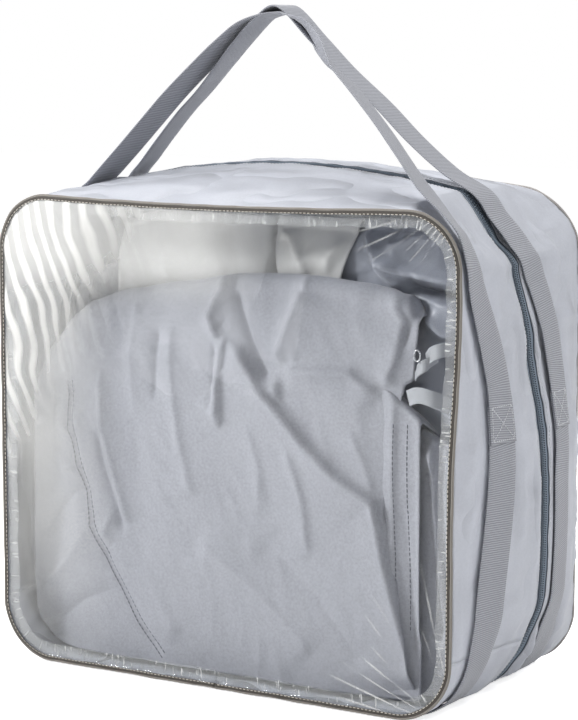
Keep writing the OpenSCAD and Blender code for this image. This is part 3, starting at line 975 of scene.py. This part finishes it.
front_right_air = [(0.207, -0.093, 0.484), (0.178, -0.080, 0.510), (0.143, -0.063, 0.541),
                   (0.104, -0.046, 0.573), (0.064, -0.028, 0.603), (0.027, -0.011, 0.633)]
front_left_air = [(-0.200, -0.034, 0.480), (-0.175, -0.028, 0.507), (-0.148, -0.022, 0.537),
                  (-0.122, -0.016, 0.566), (-0.094, -0.011, 0.593), (-0.067, -0.007, 0.617),
                  (-0.038, -0.003, 0.6375)]
rear_right_air = [(0.174, 0.014, 0.4965), (0.137, 0.012, 0.526), (0.103, 0.010, 0.558),
                  (0.0645, 0.006, 0.591), (0.034, 0.003, 0.621)]
rear_left_air = [(-0.202, 0.035, 0.484), (-0.186, 0.031, 0.498), (-0.164, 0.027, 0.520),
                 (-0.135, 0.021, 0.547), (-0.107, 0.016, 0.570), (-0.079, 0.011, 0.596),
                 (-0.052, 0.006, 0.621), (-0.026, 0.002, 0.642)]


def front_twist(share):
    """The front strap runs nearly edge-on along its right leg and rolls over just beside the apex."""
    left = -6 * smooth((share - 0.20) / 0.05) * (1 - smooth((share - 0.44) / 0.05))
    leg = -13 * smooth((share - 0.50) / 0.03) * (1 - smooth((share - 0.73) / 0.08))
    roll = -30 * smooth((share - 0.505) / 0.035) * (1 - smooth((share - 0.555) / 0.05))
    return left + leg + roll


def rear_twist(share):
    return 6 * smooth((share - 0.20) / 0.05) * (1 - smooth((share - 0.36) / 0.10))


front_strap = handle("front_carry_handle", LANES["front", -1], front_left_air, (0, 0.0, 0.6465),
                     front_right_air, LANES["front", 1], front_twist)
rear_strap = handle("rear_carry_handle", LANES["rear", -1], rear_left_air, (0, 0.0, 0.6525),
                    rear_right_air, LANES["rear", 1], rear_twist)
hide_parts("front_handle")
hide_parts("rear_handle")


def box_stitch(name, web_y, side, body):
    """Square stitch with a cross that holds a handle's end."""
    lo, hi = 0.259, 0.290
    half = 0.0155

    def at(z, dy):
        return skin(on_side(u_at(z), side), web_y(z) + dy, THREAD_LIFT, 0)

    lines = [((lo, -half), (hi, -half)), ((hi, -half), (hi, half)), ((hi, half), (lo, half)),
             ((lo, half), (lo, -half)), ((lo, -half), (hi, half)), ((hi, -half), (lo, half))]
    items = []
    for (za, ya), (zb, yb) in lines:
        path = [at(lerp(za, zb, k / 12), lerp(ya, yb, k / 12)) for k in range(13)]
        items += stitch_row(path, [Vector((side, 0, 0))] * 13, 0.0031, 0.66, 0.00042)
    threads = beads(name, items, thread_mat)
    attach(threads, body)
    return threads


for web_y, tag, body in ((front_web_y, "front", "front_flap"), (rear_web_y, "rear", "root")):
    for side, word in ((-1, "left"), (1, "right")):
        threads = box_stitch(f"{tag}_box_threads_{word}", web_y, side, body)
        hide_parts(f"{tag}_box_stitch_{word}")


# ------------------------------------------------------------------ the folded cover inside
def mm(*points):
    return [(x / 1000, z / 1000) for x, z in points]


def curve_at(points, t):
    """Height of a curve through points, sorted by their first number, at t."""
    if t <= points[0][0]:
        return points[0][1]
    for (a, va), (b, vb) in zip(points, points[1:]):
        if t <= b:
            return lerp(va, vb, smooth((t - a) / (b - a)) * 0.5 + (t - a) / (b - a) * 0.5)
    return points[-1][1]


FOLD_GAIN = 1.7                        # how much deeper the folds are than their listed heights
COVER_T = 0.0010
STITCH_PITCH, STITCH_SHARE, SEAM_LIFT = 0.0050, 0.7, 0.0012


def tucked(p):
    """Keeps a point of the contents inside the bag's cloth."""
    y = min(0.124, max(-0.1265, p.y))
    share = 1 - (y / HALF_D) ** 2
    x, z, sign = abs(p.x), p.z, math.copysign(1, p.x)
    gap = 0.0065
    if x > FLAT_X and z > HIGH_Z:
        dx, dz = x - FLAT_X, z - HIGH_Z
        reach = math.hypot(dx, dz)
        most = CORNER_R + corner_out(math.atan2(dz, dx) / (math.pi / 2)) * share - gap
        if reach > most:
            x, z = FLAT_X + dx * most / reach, HIGH_Z + dz * most / reach
    elif z > HIGH_Z:
        z = min(z, BODY_H + top_out(x) * share - gap)
    elif x > FLAT_X and z < LOW_Z:
        dx, dz = x - FLAT_X, LOW_Z - z
        reach = math.hypot(dx, dz)
        most = CORNER_R - gap
        if reach > most:
            x, z = FLAT_X + dx * most / reach, LOW_Z - dz * most / reach
    inward = min(0.0, side_fit(z)) * share if sign > 0 else 0.0
    x = min(x, HALF_W + side_out(z) * share - gap + inward) if z <= HIGH_Z else x
    return Vector((sign * x, y, max(z, BASE_Z + 0.005)))


def crease(line, height, left, right, taper=0.02):
    """A fold's crest along line: its height fades over left on one side and right on the other."""
    spans, total = [], 0.0
    for (ax, az), (bx, bz) in zip(line, line[1:]):
        length = math.hypot(bx - ax, bz - az)
        spans.append((ax, az, (bx - ax) / length, (bz - az) / length, length, total))
        total += length
    box = (min(p[0] for p in line), max(p[0] for p in line), min(p[1] for p in line),
           max(p[1] for p in line))
    reach = 4 * max(left, right)

    def at(x, z):
        if x < box[0] - reach or x > box[1] + reach or z < box[2] - reach or z > box[3] + reach:
            return 0.0
        best, side, where = 1e9, 1, 0.0
        for ax, az, dx, dz, length, start in spans:
            along = min(length, max(0.0, (x - ax) * dx + (z - az) * dz))
            px, pz = x - ax - dx * along, z - az - dz * along
            d = math.hypot(px, pz)
            if d < best:
                best, side, where = d, dx * pz - dz * px, start + along
        w = left if side > 0 else right
        ends = smooth(where / taper) * smooth((total - where) / taper) if taper else 1.0
        return FOLD_GAIN * height * ends * math.exp(-best / w)

    return at


def relief_of(creases):
    return lambda x, z: sum(c(x, z) for c in creases)


def draped(name, x_of, z_lo, z_top, front_y, relief, roll, mat, step=0.0022):
    """A hanging sheet that faces the window, with a rounded fold at the top that goes back and down.
    x_of(z) gives its two side edges, z_top(x) its top edge, front_y(x, z) its depth."""
    wide = max(8, round((x_of(0.2)[1] - x_of(0.2)[0]) / step))
    top_mean = z_top(sum(x_of(0.25)) / 2)
    tall = max(8, round((top_mean - z_lo) / step))
    bend = 12

    def point(s, t):
        if t <= 1:
            x0, x1 = x_of(lerp(z_lo, top_mean, t))
            x = lerp(x0, x1, s)
            z = lerp(z_lo, z_top(x) - roll, t)
            return Vector((x, front_y(x, z) - relief(x, z), z))
        x0, x1 = x_of(top_mean)
        x = lerp(x0, x1, s)
        z = z_top(x) - roll
        base = front_y(x, z) - relief(x, z)
        if t <= 2:
            a = math.pi * 0.62 * (t - 1)
            return Vector((x, base + roll * (1 - math.cos(a)), z + roll * math.sin(a)))
        a = math.pi * 0.62
        down = (t - 2) * 0.05
        return Vector((x, base + roll * (1 - math.cos(a)) + down * math.sin(a) * 0.8,
                       z + roll * math.sin(a) + down * math.cos(a)))

    us = even(0, 1, wide)
    vs = even(0, 1, tall) + even(1, 2, bend)[1:] + even(2, 3, 8)[1:]
    return cloth_sheet(name, us, vs, lambda s, t: tucked(point(s, t)), COVER_T, mat, None, -1)


FRONT_LAYER = -0.1225
top_edge = mm((-246, 284), (-214, 326), (-193, 350), (-175, 362), (-131, 376), (-66, 387), (-2, 397),
              (40, 399), (76, 400), (135, 395), (162, 391), (183, 386), (196, 368))
right_edge = [(z, x) for x, z in mm((203, 8), (200, 25), (195, 57), (184, 107), (175, 163), (168, 192),
                                    (169, 246), (172, 274), (182, 300), (186, 320), (196, 345),
                                    (197, 400))]
seam_line = mm((-196, 284), (-197, 244), (-190, 209), (-177, 175), (-166, 135), (-147, 104), (-125, 69),
               (-106, 41), (-78, 14))
front_folds = relief_of([
    crease(mm((83, 396), (68, 361), (57, 330), (54, 311)), 0.0085, 0.022, 0.006),
    crease(mm((54, 312), (87, 312), (132, 314), (146, 304), (166, 294)), 0.0055, 0.005, 0.016),
    crease(mm((54, 311), (53, 292), (56, 276)), 0.0050, 0.004, 0.014),
    crease(mm((-8, 337), (11, 326), (34, 296), (54, 275), (87, 242), (120, 216), (160, 194), (170, 144),
              (182, 98), (197, 48), (203, 10)), 0.0085, 0.004, 0.030, 0.03),
    crease(mm((-4, 396), (-19, 375), (-26, 357), (-18, 341), (-6, 343)), 0.0060, 0.006, 0.004),
    crease(mm((-3, 392), (4, 366), (20, 334), (46, 292)), -0.0060, 0.009, 0.007),
    crease(mm((-6, 343), (-8, 327), (-12, 298), (-14, 246)), 0.0055, 0.003, 0.012),
    crease(mm((-18, 341), (-20, 300), (-24, 262)), -0.0040, 0.008, 0.006),
    crease(mm((-84, 350), (-87, 322), (-90, 262)), -0.0032, 0.010, 0.007),
    crease(mm((-68, 352), (-70, 310), (-60, 240), (-42, 176)), 0.0030, 0.009, 0.012),
    crease(mm((-110, 372), (-118, 310), (-112, 250)), 0.0024, 0.014, 0.010),
    crease(mm((65, 240), (82, 191), (88, 128)), 0.0032, 0.006, 0.013),
    crease(mm((18, 262), (34, 214), (30, 166)), 0.0024, 0.008, 0.012),
    crease(mm((162, 391), (182, 366), (178, 330), (164, 296)), 0.0045, 0.005, 0.012),
    crease(mm((196, 368), (186, 356), (180, 330)), -0.0040, 0.006, 0.008),
    crease(mm((130, 266), (146, 232), (160, 196)), 0.0024, 0.006, 0.010),
    crease(mm((-156, 300), (-152, 240), (-136, 190), (-120, 140)), 0.0050, 0.010, 0.006),
    crease(mm((-166, 240), (-158, 205), (-142, 165), (-128, 128)), -0.0045, 0.008, 0.006),
    crease(mm((-150, 110), (-96, 92), (-60, 30)), 0.0022, 0.014, 0.016),
    crease(mm((-40, 140), (30, 96), (96, 40)), 0.0030, 0.016, 0.022),
    crease(mm((30, 150), (96, 96), (150, 30)), -0.0022, 0.014, 0.018),
    crease(seam_line, -0.0028, 0.006, 0.006),
    crease(mm((-214, 262), (-208, 236), (-186, 226)), 0.0040, 0.006, 0.005),
    crease(mm((-176, 262), (-186, 246), (-180, 226)), 0.0036, 0.005, 0.006),
    crease(mm((-212, 212), (-200, 194), (-178, 196)), 0.0034, 0.005, 0.006),
    crease(mm((-140, 160), (-152, 132), (-140, 120)), 0.0034, 0.006, 0.006),
    crease(mm((-238, 120), (-190, 170), (-165, 172)), -0.0030, 0.008, 0.010),
    crease(mm((-240, 60), (-200, 100), (-160, 150)), 0.0030, 0.010, 0.012),
    crease(mm((-236, 20), (-180, 60), (-130, 80)), -0.0024, 0.010, 0.012),
])


def front_relief(x, z):
    soft = 0.0030 * n3(x * 8, z * 6, 21.0) + 0.0016 * n3(x * 24 + z * 6, z * 10, 24.0)
    fine = 0.0007 * (1 - 2 * abs(n3(x * 48 + z * 12, z * 26, 27.0)))
    return front_folds(x, z) + soft + fine


def front_depth(x, z):
    """The cover presses against the window in the middle and falls back at its edges."""
    away = smooth((abs(x + 0.02) - 0.12) / 0.13) * 0.010
    high = smooth((z - 0.31) / 0.09) * 0.010
    return FRONT_LAYER + 0.0225 + away + high


front_cover = draped("cover_front_layer", lambda z: (-0.246, curve_at(right_edge, z)), 0.008,
                     lambda x: curve_at(top_edge, x), front_depth, front_relief, 0.013, cover_mat)
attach(front_cover, "root")

hem_creases = relief_of([
    crease(mm((178, 330), (177, 266), (176, 140), (190, 30)), 0.0030, 0.004, 0.010),
    crease(mm((204, 300), (205, 204), (206, 60)), 0.0030, 0.006, 0.003),
    crease(mm((186, 200), (196, 120), (200, 50)), -0.0016, 0.006, 0.006)])
HEM_Y = -0.095


def hem_relief(x, z):
    return hem_creases(x, z) + 0.0016 * n3(x * 20, z * 9, 31.0)


hem_strip = draped("cover_hem_strip", lambda z: (0.150 + 0.02 * (1 - z / 0.3), 0.206), 0.012,
                   lambda x: 0.300 - (x - 0.17) * 0.8, lambda x, z: HEM_Y, hem_relief, 0.004, cover_mat)
side_creases = relief_of([
    crease(mm((212, 262), (216, 190), (222, 110), (236, 50)), 0.0090, 0.004, 0.016),
    crease(mm((205, 240), (214, 160), (224, 60)), -0.0060, 0.008, 0.006),
    crease(mm((226, 300), (228, 200), (232, 90)), 0.0050, 0.008, 0.004)])
side_fold = draped("cover_side_fold", lambda z: (0.196, 0.242), 0.012, lambda x: 0.262 - (x - 0.2) * 0.4,
                   lambda x, z: -0.080,
                   lambda x, z: side_creases(x, z) + 0.003 * n3(x * 25, z * 10, 35.0), 0.006, cover_mat)

pale_creases = relief_of([
    crease(mm((18, 452), (21, 424), (30, 392)), -0.0100, 0.004, 0.010, 0.004),
    crease(mm((26, 430), (40, 438), (48, 434), (70, 396)), 0.0080, 0.010, 0.005),
    crease(mm((112, 440), (96, 420), (86, 398)), 0.0070, 0.005, 0.014),
    crease(mm((50, 410), (62, 424), (60, 400)), -0.0040, 0.008, 0.008),
    crease(mm((-120, 448), (-96, 420), (-86, 380)), 0.0040, 0.012, 0.016)])
pale_layer = draped("cover_second_layer", lambda z: (-0.152, 0.116 - max(0.0, 0.45 - z) * 0.25), 0.20,
                    lambda x: 0.452 - 0.004 * n3(x * 14, 1, 2) - 0.25 * max(0.0, -0.12 - x),
                    lambda x, z: -0.072 + 0.02 * smooth((z - 0.40) / 0.06),
                    lambda x, z: pale_creases(x, z) + 0.0026 * n3(x * 13, z * 11, 41.0), 0.010, pale_mat)
nylon_creases = relief_of([
    crease(mm((120, 452), (138, 428), (152, 414), (150, 396)), 0.0100, 0.006, 0.010),
    crease(mm((150, 446), (158, 432), (182, 441), (226, 440)), 0.0120, 0.006, 0.016),
    crease(mm((146, 420), (156, 414), (170, 408), (206, 402), (240, 398)), 0.0140, 0.010, 0.005),
    crease(mm((146, 420), (160, 400), (190, 384), (238, 372)), 0.0100, 0.005, 0.010),
    crease(mm((160, 396), (196, 388), (240, 384)), -0.0160, 0.006, 0.007),
    crease(mm((186, 372), (214, 352), (240, 348)), 0.0100, 0.012, 0.010),
    crease(mm((196, 340), (214, 322), (240, 300)), -0.0140, 0.010, 0.008),
    crease(mm((176, 300), (204, 290), (240, 262)), 0.0100, 0.008, 0.014)])
nylon_folds = draped("cover_nylon_folds", lambda z: (0.095, 0.243), 0.10,
                     lambda x: 0.452 - 0.12 * max(0.0, x - 0.20),
                     lambda x, z: -0.060 + 0.020 * smooth((z - 0.42) / 0.05),
                     lambda x, z: nylon_creases(x, z) + 0.005 * n3(x * 20, z * 16, 45.0), 0.008,
                     nylon_mat, 0.0024)
for piece, flat in ((hem_strip, (0.05, 0.35)), (side_fold, (0.046, 0.31)), (pale_layer, (0.26, 0.32)),
                    (nylon_folds, (0.148, 0.41))):
    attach(piece, "root")


def seam_on(name, line, offset, mat):
    """A row of stitches on the front layer, offset sideways from line."""
    dense = spline([Vector((x, 0, z)) for x, z in line], 14)
    path = []
    for i, p in enumerate(dense):
        t = (dense[min(len(dense) - 1, i + 1)] - dense[max(0, i - 1)]).normalized()
        x, z = p.x - t.z * offset, p.z + t.x * offset
        path.append(Vector((x, front_depth(x, z) - front_relief(x, z) - SEAM_LIFT, z)))
    normals = [Vector((0, -1, 0))] * len(path)
    row = beads(name, stitch_row(path, normals, STITCH_PITCH, STITCH_SHARE, 0.00055), mat)
    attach(row, "root")


seam_on("cover_seam_left", seam_line, 0.0030, seam_mat)
seam_on("cover_seam_right", seam_line, -0.0030, seam_mat)
for k, x0 in enumerate((0.1795, 0.1925)):
    path = [Vector((x0 + 0.002 * math.sin(z * 20), 0, z)) for z in even(0.075, 0.272, 40)]
    path = [Vector((p.x, HEM_Y - hem_relief(p.x, p.z) - SEAM_LIFT, p.z)) for p in path]
    normals = [Vector((0, -1, 0))] * len(path)
    row = stitch_row(path, normals, STITCH_PITCH, STITCH_SHARE, 0.00050)
    row = beads(f"cover_hem_stitches_{k}", row, seam_mat)
    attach(row, "root")


def tab(name, points, width, across=(0, 0, 1)):
    """A short end of webbing on the cover, through points in millimetres."""
    path = spline([Vector((x / 1000, y / 1000, z / 1000)) for x, y, z in points], 8)
    piece = ribbon(name, path, [Vector(across)] * len(path), width, 0.0012, tab_mat)
    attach(piece, "root")


tab("cover_strap_lower", [(198, -108, 296), (210, -112, 300), (224, -112, 298), (238, -100, 290)], 0.015)
tab("cover_strap_upper", [(214, -102, 332), (222, -108, 338), (232, -108, 342), (244, -94, 344)], 0.013)
tab("cover_strap_short", [(203, -104, 316), (209, -108, 323), (216, -108, 328), (222, -98, 334)], 0.011,
    (0.3, 0, 1))
pull_ring = [Vector((0.2085 + 0.0032 * math.cos(a), -0.111, 0.336 + 0.0052 * math.sin(a)))
             for a in even(0, 2 * math.pi, 20)[:-1]]
ring = tube("cover_zip_ring", pull_ring, 0.0008, metal_mat, 8, True)
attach(ring, "root")


def slab(name, y0, y1, height, seed):
    """One folded layer of the stack behind: a soft closed pad with rounded folds at its edges."""
    nu, nv = 72, 22
    rows = []
    half_w, mid_y, half_y = 0.228, (y0 + y1) / 2, (y1 - y0) / 2
    mid_z, half_z = 0.006 + height / 2, height / 2
    for i in range(nu):
        a = 2 * math.pi * i / nu
        c, s = math.cos(a), math.sin(a)
        ring_x = math.copysign(abs(c) ** 0.22, c) * half_w
        ring_z = math.copysign(abs(s) ** 0.22, s) * half_z
        line = []
        for j in range(nv + 1):
            b = math.pi * (j / nv - 0.5)
            shrink = abs(math.cos(b)) ** 0.16
            y = math.copysign(abs(math.sin(b)) ** 0.5, b) * half_y
            x, z = ring_x * shrink, ring_z * shrink
            bump_y = 0.006 * n3(x * 9 + seed, z * 9, seed) * (1 if b > 0 else -1) * smooth(1.4 * abs(b))
            rim = 0.6 + abs(n3(c * 3, s * 3 + y * 30, seed))
            pull = 1 - 0.02 * (1 + n3(x * 14, y * 40, seed + 3)) * rim
            line.append(Vector((x * pull, mid_y + y * 0.96 + bump_y, mid_z + z * pull)))
        rows.append(line)
    pts = [tucked(p) for row in rows for p in row]
    faces = grid_faces(nu, nv + 1, 0, True, True)
    lo, hi = len(pts), len(pts) + 1
    pts += [sum((r[0] for r in rows), Vector()) / nu, sum((r[-1] for r in rows), Vector()) / nu]
    for i in range(nu):
        k = (i + 1) % nu
        faces.append((i * (nv + 1), k * (nv + 1), lo)[::-1])
        faces.append((i * (nv + 1) + nv, k * (nv + 1) + nv, hi))
    piece = make_mesh(name, pts, faces, [(p.x, p.z) for p in pts], cover_mat)
    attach(piece, "root")


slab("cover_stack_front", -0.042, 0.002, 0.400, 3.0)
slab("cover_stack_middle", 0.002, 0.058, 0.425, 6.0)
slab("cover_stack_back", 0.058, 0.116, 0.405, 9.0)


# ------------------------------------------------------------------ stage
def area_light(name, place, aim, size, power):
    data = bpy.data.lights.new(name, "AREA")
    data.shape = "RECTANGLE"
    data.size, data.size_y = size
    data.energy = power
    light = bpy.data.objects.new(name, data)
    light.location = place
    light.rotation_euler = (Vector(aim) - Vector(place)).to_track_quat("-Z", "Y").to_euler()
    bpy.context.scene.collection.objects.link(light)


studio = Nodes("studio_floor")
floor_tone = studio.mix(studio.noise(studio.coord("Object"), 6.0), rgba(0.93, 0.93, 0.93),
                             rgba(0.95, 0.95, 0.95))
floor_glow = studio.mul(studio.add("ShaderNodeLightPath").outputs["Is Camera Ray"], 0.74)
floor_mat = studio.surface(studio.add("ShaderNodeBsdfPrincipled", {
    "Base Color": floor_tone, "Roughness": 0.85, "Emission Color": rgba(1, 1, 1),
    "Emission Strength": floor_glow}).outputs[0])
ground = make_mesh("ground", [(-9, -9, -0.0008), (9, -9, -0.0008), (9, 9, -0.0008), (-9, 9, -0.0008)],
                   [(0, 1, 2, 3)], None, floor_mat)
MIDDLE = (0, 0, 0.25)
area_light("key_soft", (-2.0, -1.9, 1.75), MIDDLE, (0.6, 0.6), 84)
area_light("side_soft", (2.3, 0.7, 2.2), MIDDLE, (1.2, 1.2), 40)
area_light("top_soft", (-0.4, 0.5, 2.6), MIDDLE, (1.8, 1.8), 40)
area_light("window_sheen", (-1.40, -2.15, 0.42), (-0.1, -0.13, 0.28), (0.35, 0.8), 2.4)

world = bpy.data.worlds.new("studio")
world.use_nodes = True
world_tree = world.node_tree
backdrop = world_tree.nodes["Background"]
backdrop.inputs[0].default_value = (1, 1, 1, 1)
seen = world_tree.nodes.new("ShaderNodeLightPath")
level = world_tree.nodes.new("ShaderNodeMapRange")
level.inputs["To Min"].default_value = 0.30
level.inputs["To Max"].default_value = 1.0
world_tree.links.new(seen.outputs["Is Camera Ray"], level.inputs["Value"])
world_tree.links.new(level.outputs[0], backdrop.inputs[1])
bpy.context.scene.world = world
bpy.context.scene.view_settings.view_transform = "Standard"

YAW, PITCH = math.radians(31.9), math.radians(7.5)
camera_data = bpy.data.cameras.new("camera")
camera_data.lens = 118.75
camera_data.sensor_width = 36.0
camera_data.clip_end = 50
camera = bpy.data.objects.new("camera", camera_data)
camera.location = (1.237, -1.983, 0.613)
look = Vector((-math.sin(YAW) * math.cos(PITCH), math.cos(YAW) * math.cos(PITCH), -math.sin(PITCH)))
camera.rotation_euler = look.to_track_quat("-Z", "Y").to_euler()
bpy.context.scene.collection.objects.link(camera)
bpy.context.scene.camera = camera
